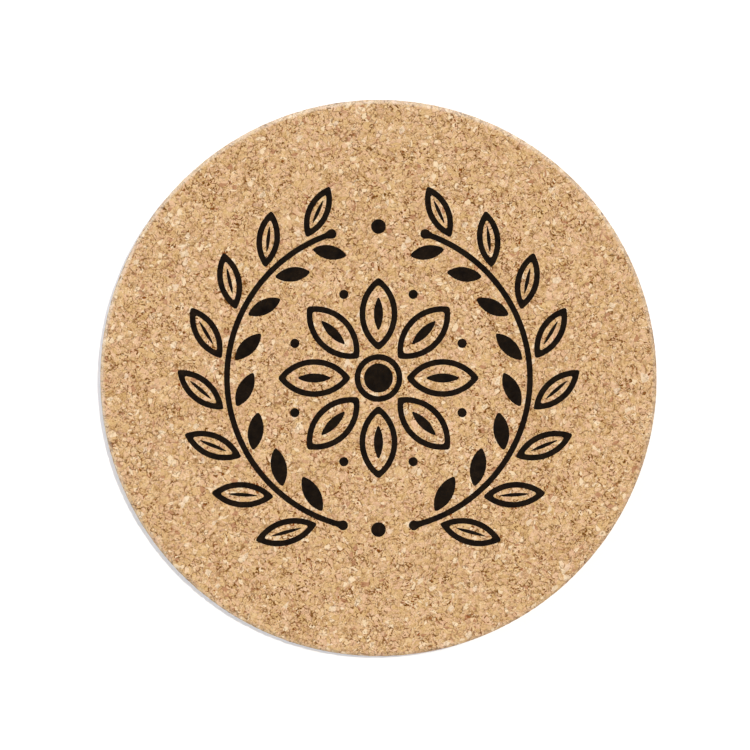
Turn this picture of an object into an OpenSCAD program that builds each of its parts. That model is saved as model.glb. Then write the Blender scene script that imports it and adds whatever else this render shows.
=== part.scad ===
// Round cork trivet. One disc of pressed cork granules carries a one-colour print: a leaf
// wreath of two branches round a daisy. The ink has soaked into the sanded face, so each
// mark fills its own shallow place in the cork and ends level with it.
// The disc lies flat, its underside is at z = 0 and its centre is on the z axis.

/* [Cork disc] */
// Diameter of the disc
disc_d = 190; // [170:1:240]
// Thickness of the disc
disc_h = 10; // [6:0.5:14]
// Radius that eases the upper and lower edge
edge_r = 1.2; // [0.6:0.1:2.4]

/* [Ink] */
// Depth to which the ink has soaked in
ink_depth = 0.3; // [0.2:0.05:0.6]
// Width of the drawn lines
line_w = 2; // [1.4:0.1:2.4]
// Bare cork between marks that lie side by side
bare_gap = 1.2; // [0.8:0.1:1.8]

/* [Daisy] */
// Number of petals
petal_count = 8; // [6:1:9]
// Length of a petal
petal_l = 25; // [20:0.5:28]
// Width of a petal
petal_w = 13; // [10:0.5:14]
// Width of the solid streak inside a petal
streak_w = 3.2; // [2:0.1:4]
// Radius of the solid eye
eye_r = 5; // [3.5:0.1:7]
// Radius of the beads between the petal tips
bead_r = 1.7; // [1:0.1:2.2]

/* [Wreath] */
// Leaf pairs on each of the two branches
pair_count = 8; // [6:1:8]
// Angle between a leaf and its stem
leaf_slant = 38; // [34:1:44]
// Length of an outer leaf at the foot of its branch
outer_leaf_l = 22; // [18:0.5:25]
// Width of an outer leaf at the foot of its branch
outer_leaf_w = 9; // [8:0.1:10]
// Width of the rib inside an outer leaf
rib_w = 1.3; // [0.8:0.1:1.6]
// Length of an inner leaf at the foot of its branch
inner_leaf_l = 14; // [11:0.5:16]
// Width of an inner leaf at the foot of its branch
inner_leaf_w = 5.6; // [4:0.1:6.4]
// Bare ring between the petal tips and the inner leaves
daisy_clear = 6.5; // [4:0.5:9]
// Radius of the buds that end each stem
bud_r = 1.8; // [1.3:0.1:2.2]
// Radius of the berries between the two branches
berry_r = 2.6; // [1.6:0.1:3]

/* [Hidden] */

$fn = 96;

cork_colour = [0.82, 0.66, 0.49];
ink_colour = [0.13, 0.09, 0.06];

// How far a cut runs past the face that it opens
overrun = 1;

// The parts of a half turn that a branch leaves free at its foot and at its tip
foot_share = 0.075;
tip_share = 0.1;
// How much shorter and narrower the last leaves are than the first
taper_share = 0.12;
// Length of a rib and of a streak as shares of the bare space that each lies in
rib_length_share = 0.72;
streak_length_share = 0.6;
// Where the beads lie along the petals, as a share of a petal's length
bead_place_share = 0.86;

half_turn = 180;
foot_angle = -half_turn / 2 + half_turn * foot_share;
tip_angle = half_turn / 2 - half_turn * tip_share;
leaf_pitch = (tip_angle - foot_angle) / pair_count;

eye_ring_r = eye_r + bare_gap + line_w;
petal_start_r = eye_ring_r + bare_gap;
petal_tip_r = petal_start_r + petal_l;
inner_leaf_reach = inner_leaf_l * sin(leaf_slant);
stem_r = petal_tip_r + daisy_clear + inner_leaf_reach + bare_gap + line_w / 2;
leaf_off_stem = line_w / 2 + bare_gap;

// A leaf outline is the overlap of two equal circles, which meet in points at x = 0 and x = l.
function leaf_arc_r(l, w) = (l * l + w * w) / (4 * w);
function leaf_arc_off(l, w) = leaf_arc_r(l, w) - w / 2;
// Length of the bare space inside a leaf drawn with a line of width line_w
function leaf_hollow_l(l, w) =
    2 * sqrt(pow(leaf_arc_r(l, w) - line_w, 2) - pow(leaf_arc_off(l, w), 2));
// Leaf sizes fall along a branch, pair by pair.
function taper(pair) = 1 - taper_share * pair / (pair_count - 1);

module leaf_area(l, w, inset = 0) {
    translate([l / 2, 0])
        intersection_for (side = [-1, 1])
            translate([0, side * leaf_arc_off(l, w)])
                circle(r = leaf_arc_r(l, w) - inset, $fn = 180);
}

module leaf_line(l, w) {
    difference() {
        leaf_area(l, w);
        leaf_area(l, w, line_w);
    }
}

// A slender solid mark on the middle line of a leaf or petal
module middle_mark(l, w, mark_w, length_share) {
    mark_l = leaf_hollow_l(l, w) * length_share;
    translate([(l - mark_l) / 2, 0])
        leaf_area(mark_l, mark_w);
}

module ring(outer_r, w) {
    difference() {
        circle(r = outer_r);
        circle(r = outer_r - w);
    }
}

// Copies the children for every leaf pair of both branches. Side 1 lies outside the stem,
// side -1 inside it, and $pair tells the children which pair they belong to.
module at_pairs(side) {
    for (branch = [0, 1], pair = [0 : pair_count - 1]) {
        $pair = pair;
        mirror([branch, 0])
            rotate(foot_angle + leaf_pitch * (pair + 1 / 2))
                translate([stem_r + side * leaf_off_stem, 0])
                    rotate(half_turn / 2 - side * leaf_slant)
                        children();
    }
}

module at_petals(turn_share = 0) {
    for (petal = [0 : petal_count - 1])
        rotate(half_turn / 2 + 2 * half_turn * (petal + turn_share) / petal_count)
            translate([petal_start_r, 0])
                children();
}

module stem_marks() {
    for (branch = [0, 1])
        mirror([branch, 0]) {
            intersection() {
                ring(stem_r + line_w / 2, line_w);
                stem_sector();
            }
            for (end = [foot_angle, tip_angle])
                rotate(end)
                    translate([stem_r, 0])
                        circle(r = bud_r);
        }
}

// The part of a half disc that one branch runs through
module stem_sector() {
    reach = 2 * stem_r;
    polygon([
        [0, 0],
        reach * [cos(foot_angle), sin(foot_angle)],
        reach * [1, -1],
        reach * [1, 1],
        reach * [cos(tip_angle), sin(tip_angle)]
    ]);
}

module outer_leaf_marks() {
    at_pairs(1)
        leaf_line(outer_leaf_l * taper($pair), outer_leaf_w * taper($pair));
}

module leaf_rib_marks() {
    at_pairs(1)
        middle_mark(outer_leaf_l * taper($pair), outer_leaf_w * taper($pair),
                    rib_w, rib_length_share);
}

module inner_leaf_marks() {
    at_pairs(-1)
        leaf_area(inner_leaf_l * taper($pair), inner_leaf_w * taper($pair));
}

module berry_marks() {
    for (end = [-1, 1])
        translate([0, end * stem_r])
            circle(r = berry_r);
}

module petal_marks() {
    at_petals()
        leaf_line(petal_l, petal_w);
}

module petal_streak_marks() {
    at_petals()
        middle_mark(petal_l, petal_w, streak_w, streak_length_share);
}

module daisy_eye_marks() {
    circle(r = eye_r);
}

module eye_ring_marks() {
    ring(eye_ring_r, line_w);
}

module bead_marks() {
    at_petals(1 / 2)
        translate([petal_l * bead_place_share, 0])
            circle(r = bead_r);
}

module all_marks() {
    stem_marks();
    outer_leaf_marks();
    leaf_rib_marks();
    inner_leaf_marks();
    berry_marks();
    petal_marks();
    petal_streak_marks();
    daisy_eye_marks();
    eye_ring_marks();
    bead_marks();
}

// Turns marks into ink that ends level with the face.
module inked() {
    color(ink_colour)
        translate([0, 0, disc_h - ink_depth])
            linear_extrude(ink_depth)
                children();
}

// Half of the disc's section, with both edges eased
module disc_section() {
    square([disc_d / 2 - edge_r, disc_h]);
    translate([0, edge_r])
        square([disc_d / 2, disc_h - 2 * edge_r]);
    for (z = [edge_r, disc_h - edge_r])
        translate([disc_d / 2 - edge_r, z])
            circle(r = edge_r);
}

module cork_disc() {
    color(cork_colour)
        difference() {
            rotate_extrude($fn = 360)
                disc_section();
            translate([0, 0, disc_h - ink_depth])
                linear_extrude(ink_depth + overrun)
                    all_marks();
        }
}

cork_disc();
inked() stem_marks();  // stem_ink
inked() outer_leaf_marks();  // outer_leaf_ink
inked() leaf_rib_marks();  // leaf_rib_ink
inked() inner_leaf_marks();  // inner_leaf_ink
inked() berry_marks();  // berry_ink
inked() petal_marks();  // petal_ink
inked() petal_streak_marks();  // petal_streak_ink
inked() daisy_eye_marks();  // daisy_eye_ink
inked() eye_ring_marks();  // eye_ring_ink
inked() bead_marks();  // bead_ink
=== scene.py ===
"""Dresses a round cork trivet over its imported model.

The cork is a bed of pressed granules. Every granule is a flat chip with its own tone, height
and outline, and it meets its neighbours in shallow crevices and a few deep pits. The printed
marks are cut from the same bed, so the ink follows the granules that it has soaked into.
All lengths are in metres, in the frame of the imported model.
"""
import logging
import math
from dataclasses import dataclass, field
from enum import Enum
from typing import Any

import bpy
import numpy as np
from bpy.types import Material, Mesh, NodeSocket, NodeTree, Object
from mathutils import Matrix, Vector
from mathutils.geometry import delaunay_2d_cdt


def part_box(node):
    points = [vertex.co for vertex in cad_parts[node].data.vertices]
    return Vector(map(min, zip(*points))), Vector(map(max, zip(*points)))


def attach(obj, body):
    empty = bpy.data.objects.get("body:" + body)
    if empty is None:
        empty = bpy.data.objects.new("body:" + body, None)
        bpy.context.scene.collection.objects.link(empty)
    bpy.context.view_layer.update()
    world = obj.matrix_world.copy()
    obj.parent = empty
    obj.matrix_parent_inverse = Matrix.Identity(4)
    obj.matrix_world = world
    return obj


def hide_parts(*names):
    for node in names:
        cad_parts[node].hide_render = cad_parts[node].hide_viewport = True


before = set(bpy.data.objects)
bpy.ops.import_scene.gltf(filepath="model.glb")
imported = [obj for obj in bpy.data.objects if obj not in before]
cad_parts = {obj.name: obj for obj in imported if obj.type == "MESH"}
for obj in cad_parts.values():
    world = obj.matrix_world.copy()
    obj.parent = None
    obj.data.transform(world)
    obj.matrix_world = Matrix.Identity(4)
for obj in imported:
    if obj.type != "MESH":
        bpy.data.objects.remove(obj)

MM = 0.001
TOUCH = 0.001 * MM  # Heights closer than this are the same.
TINY = 1e-9  # Stands in for zero.
MIDDLE = (0.5, 0.5, 0.5)
MAP_NAME = "OFBake"
Colour = tuple[float, float, float, float]
Triple = tuple[float, float, float]
Span = tuple[float, float]
log = logging.getLogger("trivet")


class Carve(Enum):
    """What a cutting tool leaves of the mesh that it cuts."""

    KEEP_INSIDE = "INTERSECT"
    TAKE_AWAY = "DIFFERENCE"


class Half(Enum):
    """The two halves of the disc, above and below the middle of its thickness."""

    UPPER = 1
    LOWER = -1


class Trait(Enum):
    """Names of the values that the granule bed stores on its mesh."""

    TONE = "granule_tone"
    STEP = "granule_step"
    # First the crevice faces, then the painted shade that grows with a crevice's depth.
    CREVICE = "crevice"
    BOUNDARY = "boundary"
    FALL = "fall"


class Draw(Enum):
    """Seeds of the chance numbers that the granule tree draws."""

    CRACK_WIDTH = 3
    CREVICE_DEPTH = 4
    PIT = 5


class Wiring:
    """Adds nodes to one tree and links them in a single call each."""

    def __init__(self, tree: NodeTree) -> None:
        """Wraps the shader or geometry tree that gets the nodes."""
        self.tree = tree

    def add(self, kind: str, inputs: dict[int | str, Any] | None = None, **settings: Any) -> Any:
        """Adds a node.

        Args:
            kind: The node's Blender type.
            inputs: A value or a socket to link, by input name or number.
            **settings: Properties to set before the inputs.

        Returns:
            The new node.
        """
        node = self.tree.nodes.new(kind)
        for name, value in settings.items():
            setattr(node, name, value)
        self.feed(node, inputs or {})
        return node

    def feed(self, node: Any, inputs: dict[int | str, Any]) -> None:
        """Gives a node its inputs.

        Args:
            node: The node.
            inputs: A value or a socket to link, by input name or number.
        """
        for name, value in inputs.items():
            if isinstance(value, NodeSocket):
                self.tree.links.new(value, node.inputs[name])
            else:
                node.inputs[name].default_value = value

    def first(self, kind: str, inputs: dict[int | str, Any] | None = None, **settings: Any) -> NodeSocket:
        """Adds a node as add does, and returns its first output."""
        return self.add(kind, inputs, **settings).outputs[0]

    def math(self, how: str, a: Any, b: Any = 0.0, c: Any = 0.0, clamp: bool = False) -> NodeSocket:
        """Does a sum on numbers or sockets, and holds it between 0 and 1 on request."""
        return self.first("ShaderNodeMath", {0: a, 1: b, 2: c}, operation=how, use_clamp=clamp)

    def times(self, value: Any, *factors: Any) -> NodeSocket:
        """Multiplies numbers or sockets.

        Args:
            value: The first one.
            *factors: The others, in their order.

        Returns:
            The product's socket.
        """
        for factor in factors:
            value = self.math("MULTIPLY", value, factor)
        return value

    def vector(self, how: str, a: Any, b: Any = (0.0, 0.0, 0.0), scale: Any = 1.0) -> NodeSocket:
        """Does a sum on vectors.

        Args:
            how: The Vector Math node's operation.
            a: First vector or socket.
            b: Second vector or socket.
            scale: The factor that the SCALE operation uses.

        Returns:
            The result's socket, a number for LENGTH and a vector otherwise.
        """
        inputs = {0: a, "Scale": scale} if how == "SCALE" else {0: a, 1: b}
        node = self.add("ShaderNodeVectorMath", inputs, operation=how)
        return node.outputs["Value" if how == "LENGTH" else "Vector"]

    def remap(self, value: Any, low: float, high: float, to_low: float = 0.0,
              to_high: float = 1.0) -> NodeSocket:
        """Stretches one range of a value, from low to high, to another and clamps it there."""
        return self.first("ShaderNodeMapRange", {0: value, 1: low, 2: high, 3: to_low, 4: to_high})

    def blend(self, mask: Any, a: Any, b: Any) -> NodeSocket:
        """Mixes two colours, with as much of the second as the mask says."""
        return self.add("ShaderNodeMix", {0: mask, 6: a, 7: b}, data_type="RGBA").outputs[2]

    def drift(self, place: NodeSocket, scale: Any, detail: float = 2.0) -> NodeSocket:
        """Makes a smooth noise of three numbers between -0.5 and 0.5."""
        noise = self.add("ShaderNodeTexNoise", {"Vector": place, "Scale": scale, "Detail": detail})
        return self.vector("SUBTRACT", noise.outputs["Color"], MIDDLE)

    def deliver(self, net: NodeSocket, material: NodeSocket) -> None:
        """Ends a geometry tree: makes the mesh real, dresses it and puts it out.

        Args:
            net: The mesh's socket.
            material: The material's socket.
        """
        real = self.first("GeometryNodeRealizeInstances", {0: net})
        dressed = self.first("GeometryNodeSetMaterial", {0: real, "Material": material})
        self.add("NodeGroupOutput", {0: dressed})


def new_group(name: str, kind: str, inputs: dict[str, Any], outputs: dict[str, str]) -> tuple[Any, Wiring]:
    """Starts a node group with named sockets.

    Args:
        name: The group's name.
        kind: Its tree type, for shaders or for geometry.
        inputs: Socket type, or a start value for a number, by input name.
        outputs: Socket type by output name.

    Returns:
        The group and the wiring that fills it.
    """
    group = bpy.data.node_groups.new(name, kind)
    for label, value in inputs.items():
        socket_type = value if isinstance(value, str) else "NodeSocketFloat"
        socket = group.interface.new_socket(label, in_out="INPUT", socket_type=socket_type)
        if not isinstance(value, str):
            socket.default_value = value
    for label, socket_type in outputs.items():
        group.interface.new_socket(label, in_out="OUTPUT", socket_type=socket_type)
    return group, Wiring(group)


def new_tree(name: str, sizes: dict[str, float]) -> tuple[Any, Wiring]:
    """Starts a geometry tree with its sizes and a material as named inputs."""
    inputs = {"Geometry": "NodeSocketGeometry", **sizes, "Material": "NodeSocketMaterial"}
    return new_group(name, "GeometryNodeTree", inputs, {"Geometry": "NodeSocketGeometry"})


def new_object(name: str, mesh: Mesh) -> Object:
    """Puts a mesh into the scene under a name.

    Args:
        name: The object's name.
        mesh: Its mesh.

    Returns:
        The new object.
    """
    piece = bpy.data.objects.new(name, mesh)
    bpy.context.scene.collection.objects.link(piece)
    return piece


def applied(host: Object) -> Mesh:
    """Turns an object with a live modifier into a plain mesh, and removes the object.

    Args:
        host: The object.

    Returns:
        The mesh, named after it.
    """
    depsgraph = bpy.context.evaluated_depsgraph_get()
    result = bpy.data.meshes.new_from_object(host.evaluated_get(depsgraph))
    result.name = host.name
    bpy.data.objects.remove(host)
    return result


def grown(name: str, mesh: Mesh, tree: NodeTree, sizes: dict[str, float], material: Material) -> Mesh:
    """Runs a geometry tree over a mesh and keeps the result as a plain mesh.

    Args:
        name: Name of the new mesh.
        mesh: The mesh that the tree starts from.
        tree: The geometry tree.
        sizes: Values for the tree's named inputs.
        material: The material that the tree sets.

    Returns:
        The mesh that the tree made.
    """
    host = new_object(name, mesh)
    modifier = host.modifiers.new(tree.name, "NODES")
    modifier.node_group = tree
    given = {**sizes, "Material": material}
    for item in tree.interface.items_tree:
        if item.in_out == "INPUT" and item.name in given:
            modifier[item.identifier] = given[item.name]
    return applied(host)


def carved(name: str, mesh: Mesh, tool: Mesh, how: Carve) -> Mesh:
    """Cuts one closed mesh with another.

    Args:
        name: Name of the new mesh.
        mesh: The mesh to cut.
        tool: The cutting tool's mesh.
        how: What the tool leaves.

    Returns:
        The closed mesh that is left, with the first mesh's stored values.
    """
    host, cutter = new_object(name, mesh), new_object(name + "_tool", tool)
    modifier = host.modifiers.new("carve", "BOOLEAN")
    modifier.object = cutter
    modifier.operation = how.value
    modifier.solver = "MANIFOLD"
    result = applied(host)
    bpy.data.objects.remove(cutter)
    return result


def numbers(items: Any, name: str, width: int = 1) -> np.ndarray:
    """Reads one property of every vertex, face or corner.

    Args:
        items: The collection to read.
        name: The property's name.
        width: How many numbers it holds.

    Returns:
        An array with a row for each item.
    """
    values = np.zeros(len(items) * width)
    items.foreach_get(name, values)
    return values.reshape(-1, width) if width > 1 else values


@dataclass(frozen=True)
class DiscShape:
    """The disc's outer form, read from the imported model.

    A point of the surface has a travel, the way to it over the surface from the middle of the
    upper face, and an angle about the disc's axis.
    """

    radius: float
    height: float
    edge: float

    @classmethod
    def from_frame(cls, node: str) -> "DiscShape":
        """Measures the disc.

        Args:
            node: Name of the disc's node.

        Returns:
            Its shape.
        """
        low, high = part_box(node)
        points = numbers(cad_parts[node].data.vertices, "co", 3)
        reach = np.hypot(points[:, 0], points[:, 1])
        flat = reach[points[:, 2] > high.z - TOUCH].max()
        return cls(radius=float(reach.max()), height=high.z - low.z, edge=float(reach.max() - flat))

    @property
    def flat(self) -> float:
        """Radius of the flat part of a face."""
        return self.radius - self.edge

    @property
    def bend(self) -> float:
        """Travel over one eased edge."""
        return self.edge * math.pi / 2

    @property
    def side(self) -> float:
        """Height of the upright side between the eased edges."""
        return self.height - 2 * self.edge

    @property
    def span(self) -> float:
        """Travel from the middle of the upper face to the middle of the lower one."""
        return 2 * (self.flat + self.bend) + self.side

    def place(self, travel: np.ndarray, angle: np.ndarray) -> np.ndarray:
        """Finds points of the surface.

        Args:
            travel: Travel of each point.
            angle: Angle of each point.

        Returns:
            Their positions.
        """
        over = np.clip((travel - self.flat) / self.edge, 0, math.pi / 2)
        under = np.clip((travel - self.flat - self.bend - self.side) / self.edge, 0, math.pi / 2)
        down = np.clip(travel - self.flat - self.bend, 0, self.side)
        reach = np.minimum(travel, self.flat) + self.edge * (np.sin(over) + np.cos(under) - 1)
        reach = np.where(travel > self.span - self.flat, self.span - travel, reach)
        level = self.height - self.edge * (1 - np.cos(over)) - down - self.edge * np.sin(under)
        return np.stack([reach * np.cos(angle), reach * np.sin(angle), level], 1)

    def travel(self, points: np.ndarray, half: Half) -> np.ndarray:
        """Finds how far points lie from the middle of the nearer face.

        Args:
            points: Positions on the surface or less than the edge radius below it.
            half: The half of the disc that they belong to.

        Returns:
            The travel of each point, counted from the middle of that half's face.
        """
        middle = self.height / 2
        rise = (points[:, 2] - middle) * half.value
        reach = np.hypot(points[:, 0], points[:, 1])
        out = np.maximum(reach - self.flat, 0)
        above = rise - (middle - self.edge)
        turn = np.where(above > 0, np.arctan2(out, np.maximum(above, TINY)), math.pi / 2)
        turn = np.where(out > 0, turn, 0)
        down = np.where(out > 0, np.maximum(-above, 0), 0)
        return np.minimum(reach, self.flat) + self.edge * turn + down


@dataclass
class GranuleBed:
    """The pressed granules that the whole disc is made of.

    A net of strayed cells is joined into granules. A crack is the gap round a cell, the depth is
    that of a crevice between two granules, and a step is how far one may lie below another. Two
    charts cover the disc, one from each face, and meet on the lower eased edge. Spreads are the
    least and most share of a size that chance gives. Tones that differ by less than same_tone
    belong to one granule.
    """

    disc: DiscShape
    cell: float = 1.9 * MM
    stray: float = 0.48
    granule: float = 2.5 * MM
    warp: float = 1.6 * MM
    crack: float = 0.2 * MM
    depth: float = 0.08 * MM
    pit_depth: float = 0.15 * MM
    pit_share: float = 0.12
    step: float = 0.05 * MM
    swell: float = 0.05 * MM
    swell_level: float = 0.6
    warp_rate: float = 1.2
    crack_spread: Span = (0.6, 1.6)
    depth_spread: Span = (0.2, 1.2)
    depth_power: float = 2.5
    # How much of a pit's depth counts towards the fullest painted shade in the crevices.
    pit_shade_weight: float = 0.5
    same_tone: float = 1e-6
    seam_bends: float = 1.5
    seam_stray: float = 0.2
    seed: int = 11

    def _scatter(self, reach: float, rng: np.random.Generator) -> np.ndarray:
        """Strews cell centres over a round chart.

        Args:
            reach: The chart's radius.
            rng: Source of the stray.

        Returns:
            Places on the chart, a strayed honeycomb that keeps off the chart's rim.
        """
        rise = self.cell * math.sqrt(3) / 2
        rows, columns = int(reach / rise) + 1, int(reach / self.cell) + 1
        row, column = np.mgrid[-rows:rows + 1, -columns:columns + 1]
        places = np.stack([(column + row % 2 / 2) * self.cell, row * rise], -1).reshape(-1, 2)
        places += rng.uniform(-self.stray, self.stray, places.shape) * self.cell
        return places[np.hypot(places[:, 0], places[:, 1]) < reach - self.cell / 2]

    @staticmethod
    def _triangles(rim: np.ndarray, inner: np.ndarray) -> np.ndarray:
        """Joins the places of one chart into triangles.

        Args:
            rim: Places on the chart's rim.
            inner: Places inside it.

        Returns:
            Rows of three place numbers, the rim's places first.
        """
        places = [Vector(place) for place in np.vstack([rim, inner])]
        made = delaunay_2d_cdt(places, [], [], 0, TINY)
        source = np.array([ids[0] for ids in made[3]])
        return source[np.array([list(face) for face in made[2]])]

    def seed_mesh(self) -> Mesh:
        """Makes the closed net of cell centres.

        Returns:
            A mesh with a vertex on the disc's surface for each cell.
        """
        disc, rng = self.disc, np.random.default_rng(self.seed)
        seam = disc.flat + self.seam_bends * disc.bend + disc.side
        count = int(2 * math.pi * disc.radius / self.cell)
        stray = rng.uniform(-self.seam_stray, self.seam_stray, count)
        around = (np.arange(count) + stray) / count * 2 * math.pi
        rim = np.stack([np.cos(around), np.sin(around)], 1)
        upper = self._scatter(seam, rng)
        lower = self._scatter(disc.span - seam, rng)
        top = self._triangles(rim * seam, upper)
        base = self._triangles(rim * (disc.span - seam), lower)
        base = np.where(base < count, base, base + len(upper))[:, ::-1]
        travel = [np.full(count, seam), np.hypot(*upper.T), disc.span - np.hypot(*lower.T)]
        angle = [around, np.arctan2(upper[:, 1], upper[:, 0]), np.arctan2(lower[:, 1], lower[:, 0])]
        mesh = bpy.data.meshes.new("granule_seeds")
        points = disc.place(np.concatenate(travel), np.concatenate(angle))
        mesh.from_pydata(points.tolist(), [], np.vstack([top, base]).tolist())
        return mesh

    def tree(self, sizes: dict[str, float]) -> NodeTree:
        """Builds the geometry tree that turns the net into granules.

        Args:
            sizes: The bed's sizes, by the name of the tree's input.

        Returns:
            The tree.
        """
        group, w = new_tree("Granules", sizes)
        given = w.add("NodeGroupInput").outputs
        place = w.first("GeometryNodeInputPosition")

        def kept(net: NodeSocket, trait: Trait, value: NodeSocket, domain: str = "POINT") -> NodeSocket:
            """Stores a value on the mesh and returns the mesh's socket."""
            wanted = {"Geometry": net, "Name": trait.value, "Value": value}
            return w.first("GeometryNodeStoreNamedAttribute", wanted, data_type="FLOAT", domain=domain)

        def read(trait: Trait) -> NodeSocket:
            """Reads a stored value."""
            return w.first("GeometryNodeInputNamedAttribute", {"Name": trait.value}, data_type="FLOAT")

        def chance(low: float, high: float, draw: Draw) -> NodeSocket:
            """Draws a number for each element."""
            inputs = {2: low, 3: high, "Seed": draw.value}
            return w.add("FunctionNodeRandomValue", inputs, data_type="FLOAT").outputs[1]

        scale = w.math("DIVIDE", 1.0, given["Granule"])
        drift = w.drift(place, w.math("DIVIDE", self.warp_rate, given["Granule"]))
        warped = w.vector("ADD", place, w.vector("SCALE", drift, scale=given["Warp"]))
        lump = w.add("ShaderNodeTexVoronoi", {"Vector": warped, "Scale": scale})
        draws = w.add("FunctionNodeSeparateColor", {0: lump.outputs["Color"]}).outputs
        net = kept(given["Geometry"], Trait.TONE, draws[0])
        net = kept(net, Trait.STEP, draws[1])
        tone = read(Trait.TONE)
        square = w.times(tone, tone)
        squares = w.first("GeometryNodeFieldOnDomain", {0: square}, domain="POINT")
        spread = w.math("SUBTRACT", squares, square)
        net = kept(net, Trait.BOUNDARY, w.math("GREATER_THAN", spread, self.same_tone), "FACE")
        cells = w.first("GeometryNodeDualMesh", {0: net})

        parts = w.add("ShaderNodeSeparateXYZ", {0: place}).outputs
        flat = w.math("SUBTRACT", given["Radius"], given["Edge"])
        level = w.first("ShaderNodeCombineXYZ", {0: parts[0], 1: parts[1]})
        reach = w.math("MAXIMUM", w.vector("LENGTH", level), flat)
        ring = w.vector("SCALE", level, scale=w.math("DIVIDE", flat, reach))
        core_top = w.math("SUBTRACT", given["Height"], given["Edge"])
        core_level = w.math("MINIMUM", w.math("MAXIMUM", parts[2], given["Edge"]), core_top)
        core = w.vector("ADD", ring, w.first("ShaderNodeCombineXYZ", {2: core_level}))
        outward = w.vector("NORMALIZE", w.vector("SUBTRACT", place, core))
        surface = w.vector("ADD", core, w.vector("SCALE", outward, scale=given["Edge"]))
        cells = w.first("GeometryNodeSetPosition", {"Geometry": cells, "Position": surface})

        sunk = w.times(read(Trait.STEP), w.times(given["Step"], -1.0))
        wanted = {"Mesh": cells, "Offset Scale": sunk, "Individual": True}
        chips = w.add("GeometryNodeExtrudeMesh", wanted).outputs
        width = w.times(given["Crack"], chance(*self.crack_spread, Draw.CRACK_WIDTH))
        crack = w.math("DIVIDE", width, given["Cell"])
        shrink = w.math("SUBTRACT", 1.0, w.times(crack, 2.0))
        wanted = {0: chips["Mesh"], "Selection": chips["Top"], "Scale": shrink}
        net = w.first("GeometryNodeScaleElements", wanted)
        gap = w.times(w.math("SUBTRACT", 1.0, chips["Top"]), read(Trait.BOUNDARY))
        net = kept(net, Trait.CREVICE, gap)
        is_pit = w.math("LESS_THAN", chance(0.0, 1.0, Draw.PIT), given["Pit share"])
        pit = w.times(is_pit, given["Pit depth"])
        mostly_low = w.math("POWER", chance(*self.depth_spread, Draw.CREVICE_DEPTH), self.depth_power)
        fall = w.math("MULTIPLY_ADD", given["Depth"], mostly_low, pit)
        net = kept(net, Trait.FALL, w.times(read(Trait.CREVICE), fall))
        bumps = w.first("ShaderNodeTexNoise", {"Vector": place, "Scale": scale})
        swell = w.times(w.math("SUBTRACT", bumps, self.swell_level), given["Swell"])
        rise = w.math("SUBTRACT", w.math("MINIMUM", swell, 0.0), read(Trait.FALL))
        wanted = {0: net, "Offset": w.vector("SCALE", outward, scale=rise)}
        net = w.first("GeometryNodeSetPosition", wanted)
        # Painted shade: the crevice value grows with the groove's fall, so deeper grooves and pits are
        # painted darker.
        deepest = w.math("ADD", given["Depth"], w.times(given["Pit depth"], self.pit_shade_weight))
        dark = w.math("DIVIDE", read(Trait.FALL), deepest)
        net = kept(net, Trait.CREVICE, w.math("MINIMUM", dark, 1.0))
        for trait in (Trait.BOUNDARY, Trait.FALL):
            net = w.first("GeometryNodeRemoveAttribute", {0: net, "Name": trait.value})
        w.deliver(net, given["Material"])
        return group

    def build(self, material: Material) -> Mesh:
        """Presses the granules.

        Args:
            material: The cork's material.

        Returns:
            One closed mesh of the whole disc.
        """
        sizes = {
            "Radius": self.disc.radius, "Height": self.disc.height, "Edge": self.disc.edge,
            "Granule": self.granule, "Warp": self.warp, "Cell": self.cell, "Crack": self.crack,
            "Depth": self.depth, "Pit depth": self.pit_depth, "Pit share": self.pit_share,
            "Step": self.step, "Swell": self.swell,
        }
        return grown("granule_bed", self.seed_mesh(), self.tree(sizes), sizes, material)


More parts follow.
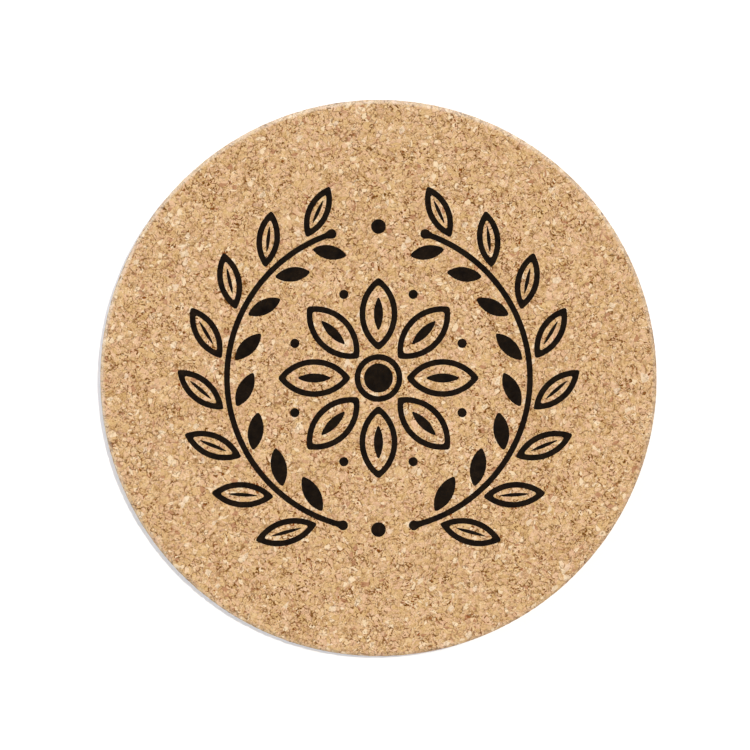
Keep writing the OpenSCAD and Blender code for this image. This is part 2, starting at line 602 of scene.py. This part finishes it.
@dataclass
class InkPrint:
    """The one-colour print, cut from the granule bed mark by mark.

    The bleed is how far the ink strays from a mark's outline. A slope is the least upward part of
    a normal. A place on the map is its start and its share of the map.
    """

    disc: DiscShape
    nodes: list[str]
    step: float = 0.7 * MM
    bleed: float = 0.12 * MM
    bleed_size: float = 1.1 * MM
    weld: float = 0.002 * MM
    seal: float = 0.0001 * MM
    overshoot: float = 1 * MM
    top_slope: float = 0.5
    shown_slope: float = 0.05
    shown_place: Span = (0.01, 0.89)
    hidden_place: Span = (0.91, 0.08)
    tools: dict[str, Mesh] = field(default_factory=dict)

    def _sizes(self, level: float, height: float) -> dict[str, float]:
        """Gives the tool's sizes, by the name of its tree's input."""
        sizes = {"Step": self.step, "Bleed": self.bleed, "Bleed size": self.bleed_size}
        return sizes | {"Level": level, "Height": height}

    def tree(self) -> NodeTree:
        """Builds the geometry tree that turns a flat mark into a cutting tool.

        Returns:
            The tree, with the tool's sizes as named inputs.
        """
        group, w = new_tree("Ink tool", self._sizes(0.0, self.overshoot))
        given = w.add("NodeGroupInput").outputs
        place = w.first("GeometryNodeInputPosition")

        def vector_of(sockets: Any) -> NodeSocket:
            """Finds the vector socket that is in use."""
            return next(s for s in sockets if s.type == "VECTOR" and s.enabled)

        wanted = {0: given["Geometry"], "Distance": self.weld}
        solid = w.first("GeometryNodeMergeByDistance", wanted)
        normal = w.add("ShaderNodeSeparateXYZ", {0: w.first("GeometryNodeInputNormal")}).outputs
        lower = w.math("LESS_THAN", normal[2], self.top_slope)
        face = w.first("GeometryNodeDeleteGeometry", {0: solid, "Selection": lower}, domain="FACE")
        # An edge of the rim has one face beside it, and the others have two.
        rim = w.math("LESS_THAN", w.first("GeometryNodeInputMeshEdgeNeighbors"), 1.5)
        outline = w.first("GeometryNodeMeshToCurve", {0: face, "Selection": rim})
        wanted = {0: outline, "Length": given["Step"]}
        even = w.first("GeometryNodeResampleCurve", wanted, mode="LENGTH")
        drift = w.drift(place, w.math("DIVIDE", 1.0, given["Bleed size"]))
        flat_drift = w.vector("MULTIPLY", drift, (2.0, 2.0, 0.0))
        stray = w.vector("SCALE", flat_drift, scale=given["Bleed"])
        round_off = w.add("GeometryNodeBlurAttribute", data_type="FLOAT_VECTOR")
        w.tree.links.new(place, vector_of(round_off.inputs))
        round_off.inputs["Iterations"].default_value = 1
        wanted = {0: even, "Position": vector_of(round_off.outputs), "Offset": stray}
        sheet = w.first("GeometryNodeFillCurve", {0: w.first("GeometryNodeSetPosition", wanted)})
        lift = w.first("ShaderNodeCombineXYZ", {2: given["Level"]})
        sheet = w.first("GeometryNodeSetPosition", {0: sheet, "Offset": lift})
        tall = w.first("ShaderNodeCombineXYZ", {2: given["Height"]})
        wanted = {"Mesh": sheet, "Offset": tall, "Individual": False}
        raised = w.first("GeometryNodeExtrudeMesh", wanted)
        under = w.first("GeometryNodeFlipFaces", {0: sheet})
        both = w.add("GeometryNodeJoinGeometry")
        for part in (raised, under):
            w.tree.links.new(part, both.inputs[0])
        wanted = {0: both.outputs[0], "Distance": self.seal}
        w.deliver(w.first("GeometryNodeMergeByDistance", wanted), given["Material"])
        return group

    def make_tools(self, material: Material) -> None:
        """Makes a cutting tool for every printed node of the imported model.

        Args:
            material: The ink's material.
        """
        tree = self.tree()
        for node in self.nodes:
            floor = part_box(node)[0].z
            sizes = self._sizes(floor, self.disc.height - floor + self.overshoot)
            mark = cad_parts[node].data.copy()
            self.tools[node] = grown(node + "_tool", mark, tree, sizes, material)

    def all_tools(self) -> Mesh:
        """Joins the cutting tools.

        Returns:
            One mesh of them all.
        """
        corners, faces = [], []
        for tool in self.tools.values():
            start = sum(len(part) for part in corners)
            corners.append(numbers(tool.vertices, "co", 3))
            faces += [[start + v for v in face.vertices] for face in tool.polygons]
        mesh = bpy.data.meshes.new("all_ink_tools")
        mesh.from_pydata(np.vstack(corners).tolist(), [], faces)
        return mesh

    def build(self, bed: Mesh, material: Material) -> list[Object]:
        """Cuts the printed marks out of the granule bed.

        Args:
            bed: The mesh of the disc's upper half before anything is cut from it.
            material: The ink's material.

        Returns:
            One piece for each printed node.
        """
        pieces = []
        for node, tool in self.tools.items():
            mesh = carved(node + "_film", bed, tool, Carve.KEEP_INSIDE)
            mesh.materials.clear()
            mesh.materials.append(material)
            self._chart(mesh)
            piece = new_object(node + "_film", mesh)
            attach(piece, "root")
            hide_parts(node)
            finish_mesh(piece)
            pieces.append(piece)
        return pieces

    def _chart(self, mesh: Mesh) -> None:
        """Lays the film's map out flat, with the hidden faces small in a corner.

        Args:
            mesh: The film's mesh.
        """
        points = numbers(mesh.vertices, "co", 3)[:, :2]
        low, wide = points.min(0), np.ptp(points, axis=0).max()
        unit = (points - low) / wide
        up = numbers(mesh.polygons, "normal", 3)[:, 2] > self.shown_slope
        totals = numbers(mesh.polygons, "loop_total").astype(int)
        at = unit[numbers(mesh.loops, "vertex_index").astype(int)]
        shown, hidden = (start + share * at for start, share in (self.shown_place, self.hidden_place))
        layer = mesh.uv_layers.new(name=MAP_NAME)
        layer.uv.foreach_set("vector", np.where(np.repeat(up, totals)[:, None], shown, hidden).ravel())


@dataclass
class CorkBody:
    """The disc itself, as an upper and a lower half that meet inside the cork.

    The block that cuts out a half is so many times wider than the disc. On the map, the margin is
    the face's reach, and the joint takes a hidden share, moved in from the corner by a shift.
    """

    disc: DiscShape
    block_width: float = 1.2
    margin: float = 0.49
    hidden_share: float = 0.05
    hidden_shift: float = 1.2

    def _half_tool(self, half: Half) -> Mesh:
        """Makes the block that holds one half of the disc.

        Args:
            half: Which half.

        Returns:
            A closed block from the middle of the thickness outwards.
        """
        wide, tall = self.disc.radius * self.block_width, self.disc.height
        middle = self.disc.height / 2
        points = [(x * wide, y * wide, middle + z * tall * half.value)
                  for z in (0, 1) for y in (-1, 1) for x in (-1, 1)]
        faces = [(0, 2, 3, 1), (4, 5, 7, 6), (0, 1, 5, 4), (2, 6, 7, 3), (0, 4, 6, 2), (1, 3, 7, 5)]
        if half is Half.LOWER:
            faces = [face[::-1] for face in faces]
        mesh = bpy.data.meshes.new("half_tool")
        mesh.from_pydata(points, [], faces)
        return mesh

    def halve(self, bed: Mesh, half: Half) -> Mesh:
        """Cuts one half of the disc, as a closed mesh, from the granule bed."""
        return carved("cork_" + half.name.lower(), bed, self._half_tool(half), Carve.KEEP_INSIDE)

    def dress(self, mesh: Mesh, half: Half, material: Material) -> Object:
        """Turns one half's mesh into a piece of the trivet.

        Args:
            mesh: The half's mesh.
            half: Which half it is.
            material: The cork's material.

        Returns:
            The piece.
        """
        mesh.materials.clear()
        mesh.materials.append(material)
        self._chart(mesh, half)
        piece = new_object("cork_" + half.name.lower(), mesh)
        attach(piece, "root")
        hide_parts("cork_disc")
        finish_mesh(piece)
        return piece

    def _chart(self, mesh: Mesh, half: Half) -> None:
        """Lays the half's map out round the middle of its face, with the joint in a corner.

        Args:
            mesh: The half's mesh.
            half: Which half it is.
        """
        points = numbers(mesh.vertices, "co", 3)
        travel = self.disc.travel(points, half)
        reach = self.disc.flat + self.disc.bend + self.disc.side / 2
        angle = np.arctan2(points[:, 1], points[:, 0])
        ray = np.stack([np.cos(angle), np.sin(angle) * half.value], 1)
        spread = 0.5 + ray * (travel / reach * self.margin)[:, None]
        small = self.hidden_share * (self.hidden_shift + points[:, :2] / self.disc.radius)
        middle = np.abs(points[:, 2] - self.disc.height / 2) < TOUCH
        vertex = numbers(mesh.loops, "vertex_index").astype(int)
        totals = numbers(mesh.polygons, "loop_total").astype(int)
        inside = np.add.reduceat(~middle[vertex], numbers(mesh.polygons, "loop_start").astype(int)) == 0
        hidden = np.repeat(inside, totals)[:, None]
        layer = mesh.uv_layers.new(name=MAP_NAME)
        layer.uv.foreach_set("vector", np.where(hidden, small[vertex], spread[vertex]).ravel())


def finish_mesh(piece: Object, crease: float = math.radians(62)) -> None:
    """Smooths a cut piece except over its sharp edges.

    Args:
        piece: The piece.
        crease: Angle past which an edge stays sharp.
    """
    mesh = piece.data
    mesh.polygons.foreach_set("use_smooth", [True] * len(mesh.polygons))
    mesh.set_sharp_from_angle(angle=crease)
    mesh.update()


@dataclass(frozen=True)
class Grain:
    """One kind of bit: its size, how far it counts in the tone, its stretch and its shift."""

    size: float
    tone: float = 0.0
    form: Triple = (1.0, 1.0, 1.0)
    shift: Triple = (0.0, 0.0, 0.0)


@dataclass(frozen=True)
class Patches:
    """Patchy values: the size of a patch, how far the values spread, and a shift."""

    size: float
    contrast: float
    shift: Triple = (0.0, 0.0, 0.0)


@dataclass(frozen=True)
class CorkFinish:
    """Colours and grain of the pressed cork.

    Chips are the large bits that the cork is pressed from. Every chip has its own grain, along
    which it splits into nuggets, flat flakes and thin splinters. Shards are odd bits of another
    colour. The levels are the tones at which the bark, tan, pale and cream colours are reached.
    """

    # Dark cork of the joints and marks, and also the painted shade in the deeper crevices.
    crevice: Colour = (0.155, 0.056, 0.003, 1.0)
    rust: Colour = (0.29, 0.07, 0.008, 1.0)
    bark: Colour = (0.32, 0.15, 0.037, 1.0)
    tan: Colour = (0.585, 0.345, 0.145, 1.0)
    pale: Colour = (0.739, 0.456, 0.22, 1.0)
    cream: Colour = (0.91, 0.7, 0.455, 1.0)
    white: Colour = (0.93, 0.78, 0.58, 1.0)
    pink: Colour = (0.76, 0.43, 0.28, 1.0)
    blush: Colour = (0.78, 0.475, 0.305, 1.0)
    straw: Colour = (0.7, 0.45, 0.182, 1.0)
    ash: Colour = (0.61, 0.44, 0.285, 1.0)
    # Painted highlight: the pale colour painted on the eased rim as a sheen.
    painted_sheen: Colour = (0.9, 0.78, 0.62, 1.0)
    levels: tuple[float, ...] = (0.04, 0.26, 0.44, 0.75)
    granule_tone: float = 0.1
    chip: Grain = Grain(3.2 * MM, 0.08)
    nugget: Grain = Grain(1.2 * MM, 0.25, (0.6, 1.2, 0.6), (0.4, 0.4, 0.4))
    flake: Grain = Grain(0.58 * MM, 0.12, (0.55, 1.1, 0.55))
    splinter: Grain = Grain(0.33 * MM, 0.18, (0.4, 1.1, 0.4), (0.2, 0.2, 0.2))
    shard: Grain = Grain(1.4 * MM, form=(1.0, 0.65, 0.8), shift=(0.5, 0.5, 0.5))
    shard_turn: Triple = (0.3, 0.4, 0.6)
    white_shards: Span = (0.984, 0.988)
    dust: Grain = Grain(0.23 * MM, 0.62)
    rag: float = 0.55 * MM
    rag_reach: float = 0.14 * MM
    rust_marks: Span = (0.5, 1.0)
    # Painted shade: how the crevice depth value turns into a share of the crevice colour.
    crevice_shade_range: Span = (0.1, 0.9)
    crevice_shade_share: float = 0.85
    # Painted highlight: the share of the pale sheen colour on the rim, and the rim's lower roughness.
    painted_sheen_share: float = 0.26
    roughness: float = 0.9
    sheen_rim_roughness: float = 0.45
    specular: float = 0.2
    relief: float = 0.04 * MM
    relief_strength: float = 0.8
    splinter_relief: float = 0.5


@dataclass(frozen=True)
class MarkFinish:
    """Where the dark marks of the cork lie.

    Seams run round the chips, cracks round the nuggets, specks are dark splinters, strokes are
    dark flakes, and a nook is a place near a seam. A span runs from no mark to a full one. A seam
    and a crack have one for the way to the rim, one for the patch and one for the grit.
    """

    patch: Patches = Patches(1.6 * MM, 2.6)
    grit: Patches = Patches(0.9 * MM, 3.0, (0.3, 0.3, 0.3))
    busy: Patches = Patches(5 * MM, 3.0)
    busy_share: float = 0.1
    seams: tuple[Span, Span, Span] = ((0.09, 0.05), (0.45, 0.75), (0.45, 0.6))
    cracks: tuple[Span, Span, Span] = ((0.09, 0.06), (0.65, 0.35), (0.55, 0.45))
    nook_patch: float = -0.2
    nook: Span = (-0.02, -0.1)
    nook_share: float = 0.12
    speck: Span = (1.005, 1.035)
    stroke: Span = (1.015, 1.025)
    chip_range: Span = (0.08, 0.85)
    chip_share: Span = (0.36, 1.0)
    shard_share: Span = (1.0, 0.35)


@dataclass(frozen=True)
class PaintedSheenFinish:
    """Where a pale sheen is painted on the eased edges as a highlight.

    The reach and the drop are shares of the eased edge, and the side runs over shares of the
    disc's radius, from the side where the painted highlight is weakest to the one where it is strongest.
    """

    reach: float = 0.4
    drop: float = 0.6
    side: Span = (-0.6, 0.9)
    strength: Span = (0.35, 1.5)


@dataclass(frozen=True)
class InkFinish:
    """Colours and surface of the printing ink."""

    black: Colour = (0.0035, 0.0016, 0.0006, 1.0)
    worn: Colour = (0.023, 0.0125, 0.005, 1.0)
    grain: Patches = Patches(0.5 * MM, 2.0)
    wear: Patches = Patches(2.2 * MM, 2.0)
    roughness: float = 0.75
    roughness_spread: float = 0.1
    specular: float = 0.06
    relief: float = 0.02 * MM
    relief_strength: float = 0.6


@dataclass(frozen=True)
class FloorFinish:
    """Colour and surface of the paper that the trivet lies on."""

    white: Colour = (0.98, 0.98, 0.98, 1.0)
    shade: float = 0.99
    grain: Patches = Patches(3 * MM, 0.2)
    roughness: float = 0.95
    specular: float = 0.1


@dataclass(frozen=True)
class Bits:
    """Chance numbers of the bits of cork, three for each kind, and the nuggets' coordinates."""

    chip: Any
    nugget: Any
    flake: Any
    splinter: Any
    shard: Any
    nugget_place: NodeSocket


class Mixture(Wiring):
    """A material in the making, with its shader node and its object coordinates."""

    def __init__(self, name: str, mottle: NodeTree) -> None:
        """Starts the material.

        Args:
            name: The material's name.
            mottle: The shared group for patchy values.
        """
        self.material = bpy.data.materials.new(name)
        self.material.use_nodes = True
        super().__init__(self.material.node_tree)
        self.tree.nodes.clear()
        self.mottle = mottle
        self.shader = self.add("ShaderNodeBsdfPrincipled")
        self.add("ShaderNodeOutputMaterial", {0: self.shader.outputs[0]})
        self.place = self.add("ShaderNodeTexCoord").outputs["Object"]

    def patched(self, by: Patches) -> NodeSocket:
        """Places the mottle group.

        Args:
            by: The patches that it makes.

        Returns:
            The group's value.
        """
        place = self.vector("ADD", self.place, by.shift)
        inputs = {"Vector": place, "Size": by.size, "Contrast": by.contrast}
        return self.first("ShaderNodeGroup", inputs, node_tree=self.mottle)

    def cells(self, place: NodeSocket, grain: Grain) -> Any:
        """Breaks the surface into one kind of bit, and returns what is known of each."""
        return self.add("ShaderNodeTexVoronoi", {"Vector": place, "Scale": 1 / grain.size}).outputs

    def rim(self, place: NodeSocket, grain: Grain) -> NodeSocket:
        """Measures the way to the rim of such bits, as a share of their size."""
        inputs = {"Vector": place, "Scale": 1 / grain.size}
        return self.add("ShaderNodeTexVoronoi", inputs, feature="DISTANCE_TO_EDGE").outputs["Distance"]

    def draws(self, cells: Any) -> Any:
        """Reads the three chance numbers of every cell."""
        return self.add("ShaderNodeSeparateColor", {0: cells["Color"]}).outputs

    def stored(self, trait: Trait) -> NodeSocket:
        """Reads a value that the granule bed stores."""
        return self.add("ShaderNodeAttribute", attribute_name=trait.value).outputs["Fac"]

    def turned(self, place: NodeSocket, turn: Any) -> NodeSocket:
        """Turns coordinates about the three axes."""
        inputs = {"Vector": place, "Rotation": turn}
        return self.first("ShaderNodeVectorRotate", inputs, rotation_type="EULER_XYZ")

    def raised(self, height: NodeSocket, depth: float, strength: float) -> NodeSocket:
        """Makes the fine relief, and returns the way that it faces."""
        return self.first("ShaderNodeBump", {"Height": height, "Distance": depth, "Strength": strength})


class CorkMixture(Mixture):
    """The cork, mixed from its bits."""

    def __init__(self, finish: CorkFinish, mottle: NodeTree) -> None:
        """Starts the cork with coordinates that stray, for ragged rims, and with its bits.

        Args:
            finish: Its colours and grain.
            mottle: The shared group for patchy values.
        """
        super().__init__("cork", mottle)
        self.finish = finish
        drift = self.drift(self.place, 1 / finish.rag, detail=1.0)
        stray = self.vector("SCALE", drift, scale=2 * finish.rag_reach)
        self.ragged = self.vector("ADD", self.place, stray)
        self.bits = self._bits()

    def _bits(self) -> Bits:
        """Breaks the cork into its bits.

        Returns:
            The bits.
        """
        def split(by: Grain) -> NodeSocket:
            """Makes coordinates that follow each chip's grain."""
            along = self.vector("ADD", self.vector("MULTIPLY", grain, by.form), chips["Color"])
            return self.vector("ADD", along, by.shift)

        finish = self.finish
        chips = self.cells(self.ragged, finish.chip)
        inside = self.vector("SUBTRACT", self.ragged, chips["Position"])
        grain = self.turned(inside, self.vector("SCALE", chips["Color"], scale=2 * math.pi))
        nuggets = split(finish.nugget)
        odd = self.turned(self.vector("ADD", self.ragged, finish.shard.shift), finish.shard_turn)
        shards = self.vector("MULTIPLY", odd, finish.shard.form)
        return Bits(
            chip=self.draws(chips),
            nugget=self.draws(self.cells(nuggets, finish.nugget)),
            flake=self.draws(self.cells(split(finish.flake), finish.flake)),
            splinter=self.draws(self.cells(split(finish.splinter), finish.splinter)),
            shard=self.draws(self.cells(shards, finish.shard)),
            nugget_place=nuggets,
        )

    def tinted(self) -> NodeSocket:
        """Colours the bits of cork.

        Returns:
            The colour without the dark marks.
        """
        finish, bits = self.finish, self.bits
        dust = self.math("SUBTRACT", self.cells(self.ragged, finish.dust)["Color"], 0.5)
        level = self.times(self.stored(Trait.TONE), finish.granule_tone)
        for draw, grain in (
            (bits.chip[1], finish.chip),
            (bits.nugget[1], finish.nugget),
            (bits.flake[0], finish.flake),
            (bits.splinter[0], finish.splinter),
            (dust, finish.dust),
        ):
            level = self.math("MULTIPLY_ADD", draw, grain.tone, level)
        ramp = self.add("ShaderNodeValToRGB", {0: level})
        stops = ramp.color_ramp.elements
        shades = (finish.bark, finish.tan, finish.pale, finish.cream)
        for number, (at, shade) in enumerate(zip(finish.levels, shades)):
            stop = stops[number] if number < 2 else stops.new(at)
            stop.position, stop.color = at, shade
        colour = ramp.outputs[0]
        # A tint starts where a chance number passes low, and is at its most from high on.
        for draw, (low, high), most, tint in (
            (bits.flake[1], (0.7, 1.0), 0.35, finish.pink),
            (bits.flake[1], (0.35, 0.0), 0.35, finish.ash),
            (bits.chip[2], (0.45, 1.0), 0.35, finish.straw),
            (bits.nugget[2], (0.6, 0.9), 0.5, finish.blush),
            (bits.nugget[2], (0.3, 0.05), 0.4, finish.straw),
            (bits.nugget[0], (0.94, 0.95), 0.75, finish.cream),
            (bits.nugget[2], (0.97, 0.98), 0.55, finish.rust),
            (bits.shard[0], finish.white_shards, 0.45, finish.white),
            (bits.shard[1], (0.965, 0.975), 0.3, finish.blush),
            (bits.shard[2], (0.985, 0.99), 0.35, finish.bark),
        ):
            colour = self.blend(self.remap(draw, low, high, 0.0, most), colour, tint)
        return colour

    def marks(self, marks: MarkFinish) -> NodeSocket:
        """Masks the dark marks: broken seams and cracks, dark splinters and dark flakes.

        Args:
            marks: Where they lie.

        Returns:
            The mask.
        """
        bits = self.bits
        patch, grit = self.patched(marks.patch), self.patched(marks.grit)
        busy = self.times(self.patched(marks.busy), marks.busy_share)
        chip_rim = self.rim(self.ragged, self.finish.chip)
        nugget_rim = self.rim(bits.nugget_place, self.finish.nugget)
        lines = []
        for rim, spans in ((chip_rim, marks.seams), (nugget_rim, marks.cracks)):
            values = (self.remap(value, *span) for value, span in zip((rim, patch, grit), spans))
            lines.append(self.times(*values))
        nook = self.remap(self.math("MULTIPLY_ADD", patch, marks.nook_patch, chip_rim), *marks.nook)
        specks = self.math("ADD", bits.splinter[1], busy)
        specks = self.math("MULTIPLY_ADD", nook, marks.nook_share, specks)
        lines.append(self.remap(specks, *marks.speck))
        dark = self.remap(self.math("ADD", bits.flake[2], busy), *marks.stroke)
        for line in lines:
            dark = self.math("MAXIMUM", dark, line)
        return self.times(
            dark,
            self.remap(bits.chip[0], *marks.chip_range, *marks.chip_share),
            self.remap(bits.shard[0], *self.finish.white_shards, *marks.shard_share),
        )

    def edge_sheen(self, disc: DiscShape, sheen: PaintedSheenFinish) -> NodeSocket:
        """Masks the eased edges, where a pale sheen is painted as a highlight, strongest towards +Y.

        Args:
            disc: The disc's shape.
            sheen: Where the painted sheen lies on the edges.

        Returns:
            The mask.
        """
        way = self.vector("LENGTH", self.vector("MULTIPLY", self.place, (1.0, 1.0, 0.0)))
        middle = disc.height / 2
        parts = self.add("ShaderNodeSeparateXYZ", {0: self.place}).outputs
        rise = self.math("ABSOLUTE", self.math("SUBTRACT", parts[2], middle))
        reach = sheen.reach * disc.edge
        outer = self.remap(way, disc.flat - reach, disc.flat + reach)
        level = self.remap(rise, middle - disc.edge, middle - sheen.drop * disc.edge)
        # The painted highlight grows from -Y to +Y, the side that the low lamps light.
        least, most = (share * disc.radius for share in sheen.side)
        side = self.remap(parts[1], least, most, *sheen.strength)
        return self.math("MULTIPLY", self.times(outer, level), side, clamp=True)


class Workshop:
    """Mixes the materials from one shared shader group."""

    def __init__(self) -> None:
        """Builds the shared group, which puts out an even noise between 0 and 1."""
        self.mottle, w = new_group(
            "Mottle", "ShaderNodeTree",
            {"Vector": "NodeSocketVector", "Size": 0.001, "Contrast": 1.0},
            {"Value": "NodeSocketFloat"},
        )
        given = w.add("NodeGroupInput").outputs
        scale = w.math("DIVIDE", 1.0, given["Size"])
        inputs = {"Vector": given["Vector"], "Scale": scale, "Detail": 1.0}
        centred = w.math("SUBTRACT", w.first("ShaderNodeTexNoise", inputs), 0.5)
        value = w.math("ADD", w.times(centred, given["Contrast"]), 0.5, clamp=True)
        w.add("NodeGroupOutput", {0: value})

    def cork(self, finish: CorkFinish, disc: DiscShape) -> Material:
        """Mixes the cork.

        Args:
            finish: Its colours and grain.
            disc: The disc's shape, which says where the edges are.

        Returns:
            The material.
        """
        m = CorkMixture(finish, self.mottle)
        lines = m.marks(MarkFinish())
        dark = m.blend(m.remap(m.bits.splinter[2], *finish.rust_marks), finish.crevice, finish.rust)
        colour = m.blend(lines, m.tinted(), dark)
        # Painted shade over the dark joints: the deeper the crevice, the more of the crevice colour.
        sunk = m.remap(m.stored(Trait.CREVICE), *finish.crevice_shade_range, 0.0, finish.crevice_shade_share)
        colour = m.blend(sunk, colour, finish.crevice)
        # Painted highlight: a pale sheen on the eased rim, stronger on the +Y side.
        sheen = m.edge_sheen(disc, PaintedSheenFinish())
        height = m.math("SUBTRACT", m.times(m.bits.splinter[0], finish.splinter_relief), lines)
        m.feed(m.shader, {
            # The rim's colour carries the painted highlight, and its roughness is lowered there too.
            "Base Color": m.blend(m.times(sheen, finish.painted_sheen_share), colour, finish.painted_sheen),
            "Roughness": m.remap(sheen, 0.0, 1.0, finish.roughness, finish.sheen_rim_roughness),
            "Specular IOR Level": finish.specular,
            "Normal": m.raised(height, finish.relief, finish.relief_strength),
        })
        return m.material

    def ink(self, finish: InkFinish) -> Material:
        """Mixes the printing ink.

        Args:
            finish: Its colours and surface.

        Returns:
            The material.
        """
        m = Mixture("ink", self.mottle)
        grain = m.patched(finish.grain)
        worn = m.times(grain, m.patched(finish.wear))
        smooth, rough = (finish.roughness + sign * finish.roughness_spread for sign in (-1, 1))
        m.feed(m.shader, {
            "Base Color": m.blend(worn, finish.black, finish.worn),
            "Roughness": m.remap(grain, 0.0, 1.0, smooth, rough),
            "Specular IOR Level": finish.specular,
            "Normal": m.raised(grain, finish.relief, finish.relief_strength),
        })
        return m.material

    def floor(self, finish: FloorFinish) -> Material:
        """Mixes the paper floor.

        Args:
            finish: Its colour and surface.

        Returns:
            The material.
        """
        m = Mixture("floor_paper", self.mottle)
        shaded = [finish.shade * part for part in finish.white]
        m.feed(m.shader, {
            "Base Color": m.blend(m.patched(finish.grain), finish.white, shaded),
            "Roughness": finish.roughness,
            "Specular IOR Level": finish.specular,
        })
        return m.material


@dataclass(frozen=True)
class Lamp:
    """A far light.

    Its strength is the brightness of a white surface that faces it. Angles are in degrees: the
    azimuth counts from +X towards +Y, the tilt from straight above, and the spread is how wide
    the light looks.
    """

    name: str
    strength: float
    tint: Triple
    spread: float
    azimuth: float = 0.0
    tilt: float = 0.0


@dataclass
class Studio:
    """The white floor, the lights and the camera straight above.

    The key light casts the thin shadow, and the glow and the window light the rim from low down.
    """

    disc: DiscShape
    picture: float = 750.0
    disc_px: float = 278.25
    centre_px: tuple[float, float] = (378.47, 378.0)
    lens: float = 400.0
    sensor: float = 36.0
    clip: Span = (0.05, 20.0)
    floor_reach: float = 30.0
    room: float = 0.195
    lamps: tuple[Lamp, ...] = (
        Lamp("overhead", 0.4, (0.94, 1.0, 1.09), spread=1.0),
        Lamp("key", 0.47, (1.06, 1.0, 0.9), spread=0.6, azimuth=35.0, tilt=10.4),
        Lamp("glow", 0.56, (0.8, 1.0, 1.35), spread=20.0, azimuth=95.0, tilt=86.0),
        Lamp("window", 0.38, (0.55, 0.85, 1.25), spread=20.0, azimuth=185.0, tilt=86.0),
    )

    def build_floor(self, material: Material) -> Object:
        """Lays the floor.

        Args:
            material: The floor's material.

        Returns:
            The floor.
        """
        reach = self.floor_reach * self.disc.radius
        corners = [(-reach, -reach, 0), (reach, -reach, 0), (reach, reach, 0), (-reach, reach, 0)]
        mesh = bpy.data.meshes.new("floor")
        mesh.from_pydata(corners, [], [(0, 1, 2, 3)])
        mesh.materials.append(material)
        floor = new_object("floor", mesh)
        return floor

    def build_camera(self) -> Object:
        """Hangs the camera over the disc, with the disc where the picture has it.

        Returns:
            The camera.
        """
        data = bpy.data.cameras.new("camera")
        data.lens, data.sensor_width = self.lens, self.sensor
        data.clip_start, data.clip_end = self.clip
        width = self.picture * self.disc.radius / self.disc_px
        right = (self.picture / 2 - self.centre_px[0]) / self.picture * width
        down = (self.picture / 2 - self.centre_px[1]) / self.picture * width
        rim_level = self.disc.height - self.disc.edge
        camera = bpy.data.objects.new("camera", data)
        camera.location = (right, -down, rim_level + width * self.lens / self.sensor)
        bpy.context.scene.collection.objects.link(camera)
        bpy.context.scene.camera = camera
        return camera

    def build_lights(self) -> None:
        """Sets up the lamps and the white room round them."""
        for lamp in self.lamps:
            self._shine(lamp)
        world = bpy.data.worlds.new("white_room")
        world.use_nodes = True
        backdrop = world.node_tree.nodes["Background"]
        backdrop.inputs["Color"].default_value = (1.0, 1.0, 1.0, 1.0)
        backdrop.inputs["Strength"].default_value = self.room
        bpy.context.scene.world = world
        bpy.context.scene.view_settings.view_transform = "Standard"

    @staticmethod
    def _shine(lamp: Lamp) -> None:
        """Adds one far light.

        Args:
            lamp: The light's strength, colour and place.
        """
        light = bpy.data.lights.new(lamp.name, "SUN")
        light.energy, light.color = lamp.strength * math.pi, lamp.tint
        light.angle = math.radians(lamp.spread)
        azimuth, tilt = math.radians(lamp.azimuth), math.radians(lamp.tilt)
        out = math.sin(tilt)
        toward = Vector((math.cos(azimuth) * out, math.sin(azimuth) * out, math.cos(tilt)))
        sun = bpy.data.objects.new(lamp.name, light)
        sun.rotation_mode = "QUATERNION"
        sun.rotation_quaternion = toward.to_track_quat("Z", "Y")
        sun.location = toward
        bpy.context.scene.collection.objects.link(sun)


def main() -> None:
    """Builds the trivet and its studio."""
    logging.basicConfig(level=logging.INFO, format="%(name)s: %(message)s")
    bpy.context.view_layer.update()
    disc = DiscShape.from_frame("cork_disc")
    log.info("disc %s", disc)
    workshop = Workshop()
    cork, ink = workshop.cork(CorkFinish(), disc), workshop.ink(InkFinish())

    bed = GranuleBed(disc).build(cork)
    log.info("granule bed: %d faces", len(bed.polygons))
    body = CorkBody(disc)
    upper, lower = body.halve(bed, Half.UPPER), body.halve(bed, Half.LOWER)
    ink_print = InkPrint(disc, sorted(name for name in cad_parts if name.endswith("_ink")))
    ink_print.make_tools(ink)
    pieces = ink_print.build(upper, ink)
    bare = carved("cork_upper", upper, ink_print.all_tools(), Carve.TAKE_AWAY)
    pieces += [body.dress(bare, Half.UPPER, cork), body.dress(lower, Half.LOWER, cork)]
    for piece in pieces:
        triangles = sum(len(face.vertices) - 2 for face in piece.data.polygons)
        log.info("%s: %d triangles", piece.name, triangles)

    studio = Studio(disc)
    studio.build_floor(workshop.floor(FloorFinish()))
    studio.build_camera()
    studio.build_lights()


if __name__ == "__main__":
    main()
